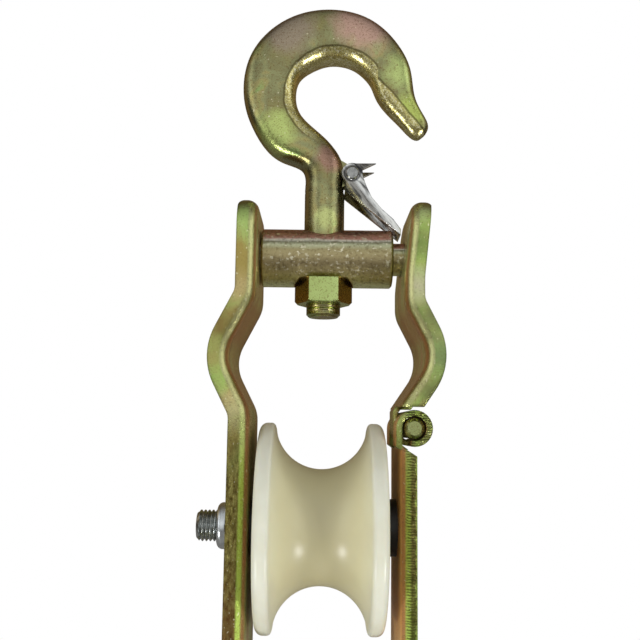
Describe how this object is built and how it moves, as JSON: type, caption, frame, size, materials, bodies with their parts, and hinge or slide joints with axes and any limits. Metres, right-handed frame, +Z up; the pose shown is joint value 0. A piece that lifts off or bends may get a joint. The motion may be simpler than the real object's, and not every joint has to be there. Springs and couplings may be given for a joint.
{
  "type": "stringing block",
  "caption": "Hook-hung stringing block: swivel hook with latch, two bowed channel straps, hinged side gate, and a deep-grooved nylon sheave on an axle.",
  "frame": {"origin": "load point: top of the hook's bowl, on the axis of its shank", "axes": "+Z up along the hook's shank, +X along the sheave's axle towards the hinged gate, +Y along the conductor's run"},
  "size_m": [0.0938, 0.08, 0.284],
  "materials": {
    "zinc_steel": "yellow zinc plated, iridescent, satin",
    "zinc_hook": "forged and yellow zinc plated",
    "bright_steel": "bright zinc plated",
    "polished_sheet": "polished",
    "bearing_steel": "ground",
    "black_steel": "blackened",
    "black_rubber": "matt",
    "cast_nylon": "ivory cast nylon, satin gloss",
    "nylon_insert": "moulded"
  },
  "bodies": {
    "hook": {"hook": "zinc_hook", "hook_nut": "zinc_hook", "latch_rivet": "polished_sheet", "latch_spring": "bright_steel"},
    "latch": {"latch": "polished_sheet"},
    "barrel": {"swivel_barrel": "zinc_steel", "spigot_washer": "zinc_steel"},
    "frame": {"left_strap": "zinc_steel", "right_strap": "zinc_steel", "hinge_pin": "zinc_steel", "axle_bolt": "bright_steel", "axle_nut": "bright_steel", "axle_nut_insert": "nylon_insert", "axle_spacer_left": "black_steel", "axle_spacer_right": "black_steel", "race_spacer": "bearing_steel", "inner_race_left": "bearing_steel", "inner_race_right": "bearing_steel", "bearing_balls_left": "bearing_steel", "bearing_balls_right": "bearing_steel", "cross_bolt": "bright_steel", "cross_spacer": "zinc_steel", "cross_nut": "bright_steel"},
    "gate": {"gate_strap": "zinc_steel"},
    "sheave": {"sheave": "cast_nylon", "outer_race_left": "bearing_steel", "outer_race_right": "bearing_steel", "bearing_seal_left": "black_rubber", "bearing_seal_right": "black_rubber"}
  },
  "joints": [
    {"name": "hook_swivel", "type": "hinge", "parent": "hook", "child": "barrel", "pos_m": [0, 0, -0.0833], "axis": [0, 0, 1], "range_deg": [-130, 130]},
    {"name": "latch_pivot", "type": "hinge", "parent": "hook", "child": "latch", "pos_m": [0.011, 0, -0.0492], "axis": [0, -1, 0], "range_deg": [0, 4.5], "stiffness_Nm_per_rad": 0.02, "springref_deg": -28.65},
    {"name": "frame_pitch", "type": "hinge", "parent": "barrel", "child": "frame", "pos_m": [0, 0, -0.0833], "axis": [1, 0, 0], "range_deg": [-100, 100]},
    {"name": "gate_hinge", "type": "hinge", "parent": "frame", "child": "gate", "pos_m": [0.0343, 0, -0.1511], "axis": [0, 1, 0], "range_deg": [0, 100]},
    {"name": "sheave_spin", "type": "hinge", "parent": "frame", "child": "sheave", "pos_m": [0, 0, -0.1895], "axis": [1, 0, 0], "continuous": true}
  ]
}
